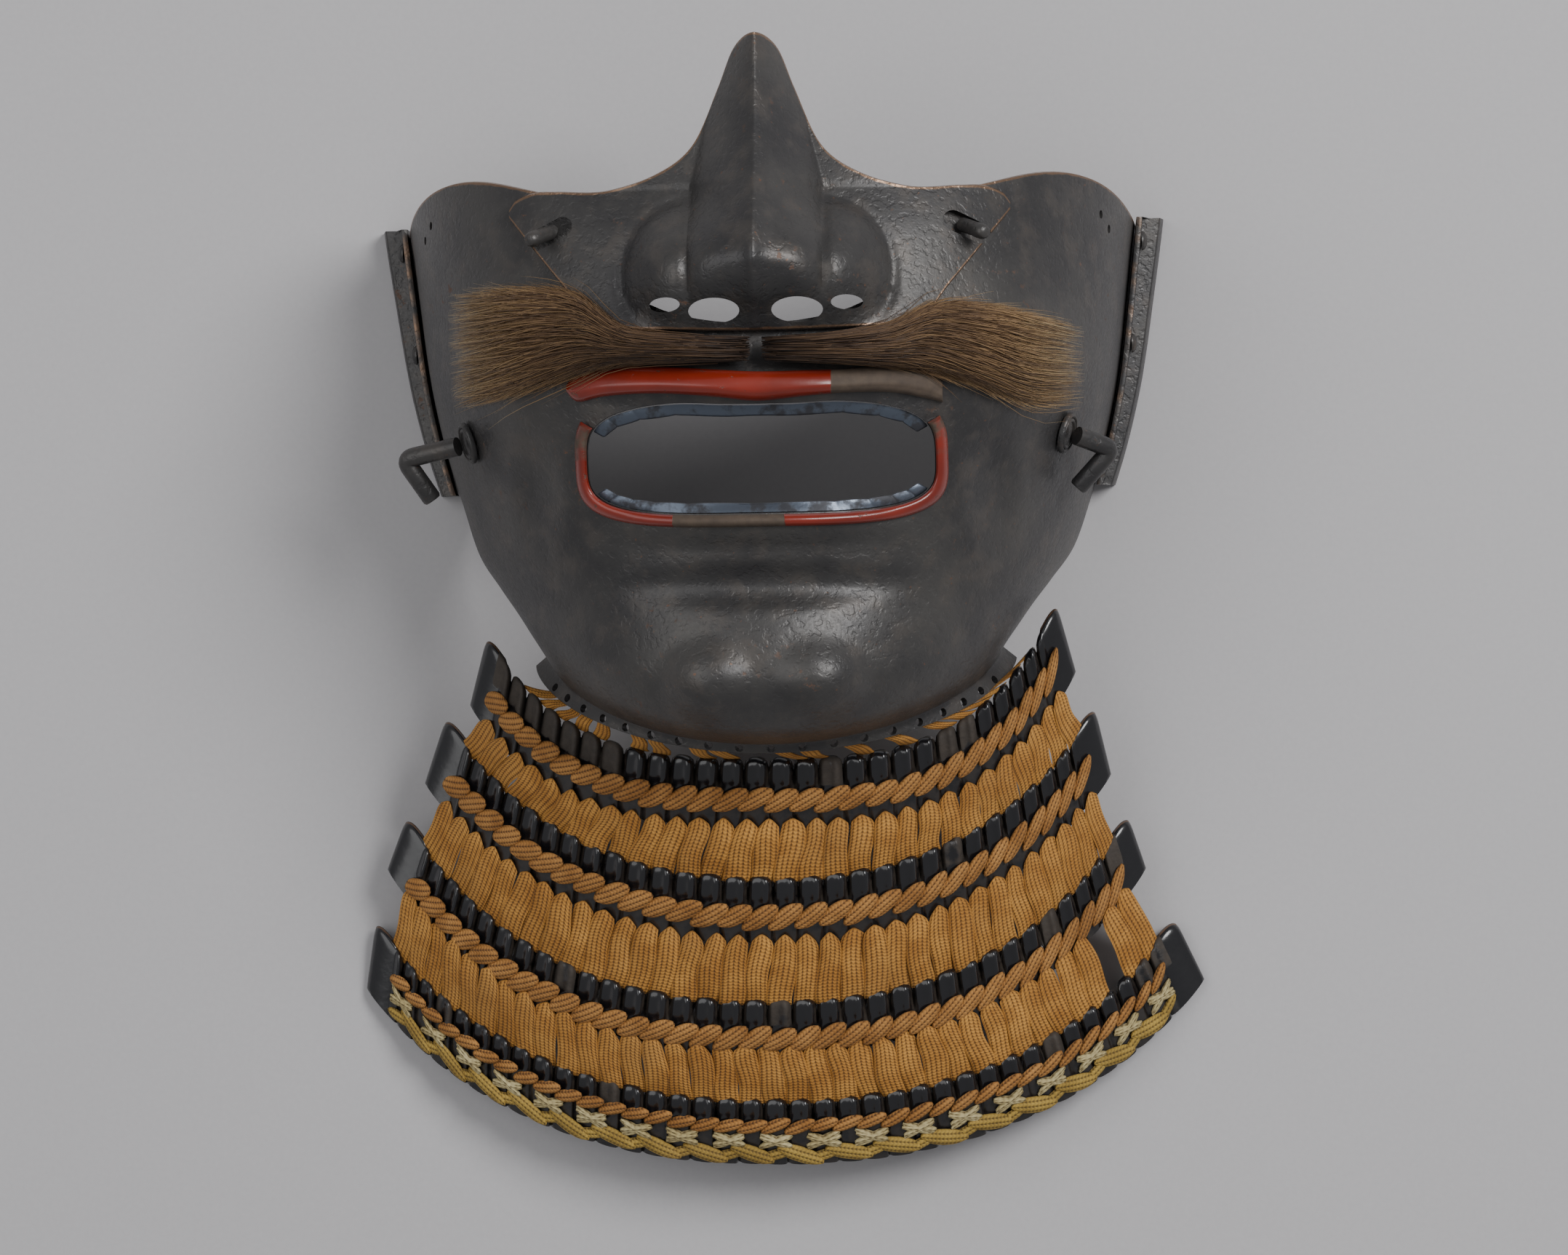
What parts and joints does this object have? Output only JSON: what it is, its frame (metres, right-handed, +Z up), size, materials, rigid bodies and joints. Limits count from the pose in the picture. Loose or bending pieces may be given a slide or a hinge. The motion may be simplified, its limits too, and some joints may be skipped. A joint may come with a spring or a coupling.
{
  "type": "samurai face guard",
  "caption": "Iron half mask with a detachable nose, moustache and lacquered lips, and a laced throat guard of curved lames hanging from its chin.",
  "frame": {"origin": "on the table under the middle of the face guard's box, lying on its back", "axes": "+Y from the throat guard's lower edge to the top of the nose, +Z up from the table to the tip of the nose, +X to the viewer's right"},
  "size_m": [0.1816, 0.2362, 0.1055],
  "materials": {
    "russet_iron": "dark patinated iron with fine pitting and copper-coloured rust at the edges",
    "red_lacquer": "red lacquer, worn and chipped",
    "silvered_iron": "tarnished silver over iron",
    "hair": "coarse brown boar hair with pale tips",
    "black_lacquer": "glossy black lacquer, dusty and worn",
    "orange_lace": "flat braided silk, golden orange, faded",
    "pale_lace": "pale braided silk",
    "green_lace": "yellow-green braided silk"
  },
  "bodies": {
    "root": {"face_plate": "russet_iron", "nose_plate": "russet_iron", "nose_peg_left": "russet_iron", "nose_peg_right": "russet_iron", "side_flange_left": "russet_iron", "side_flange_right": "russet_iron", "flange_rivet_left_1": "russet_iron", "flange_rivet_left_2": "russet_iron", "flange_rivet_right_1": "russet_iron", "flange_rivet_right_2": "russet_iron", "cord_hook_left": "russet_iron", "cord_hook_right": "russet_iron", "hook_washer_left": "russet_iron", "hook_washer_right": "russet_iron", "upper_lip": "red_lacquer", "lower_lip": "red_lacquer", "upper_teeth": "silvered_iron", "lower_teeth": "silvered_iron", "moustache_left": "hair", "moustache_right": "hair", "lame_1": "black_lacquer", "lame_2": "black_lacquer", "lame_3": "black_lacquer", "lame_4": "black_lacquer", "rope_lacing_1": "orange_lace", "rope_lacing_2": "orange_lace", "rope_lacing_3": "orange_lace", "rope_lacing_4": "orange_lace", "hanging_lacing_1": "orange_lace", "hanging_lacing_2": "orange_lace", "hanging_lacing_3": "orange_lace", "chin_lacing": "orange_lace", "knot_row": "pale_lace", "leaf_row": "green_lace"}
  },
  "joints": []
}
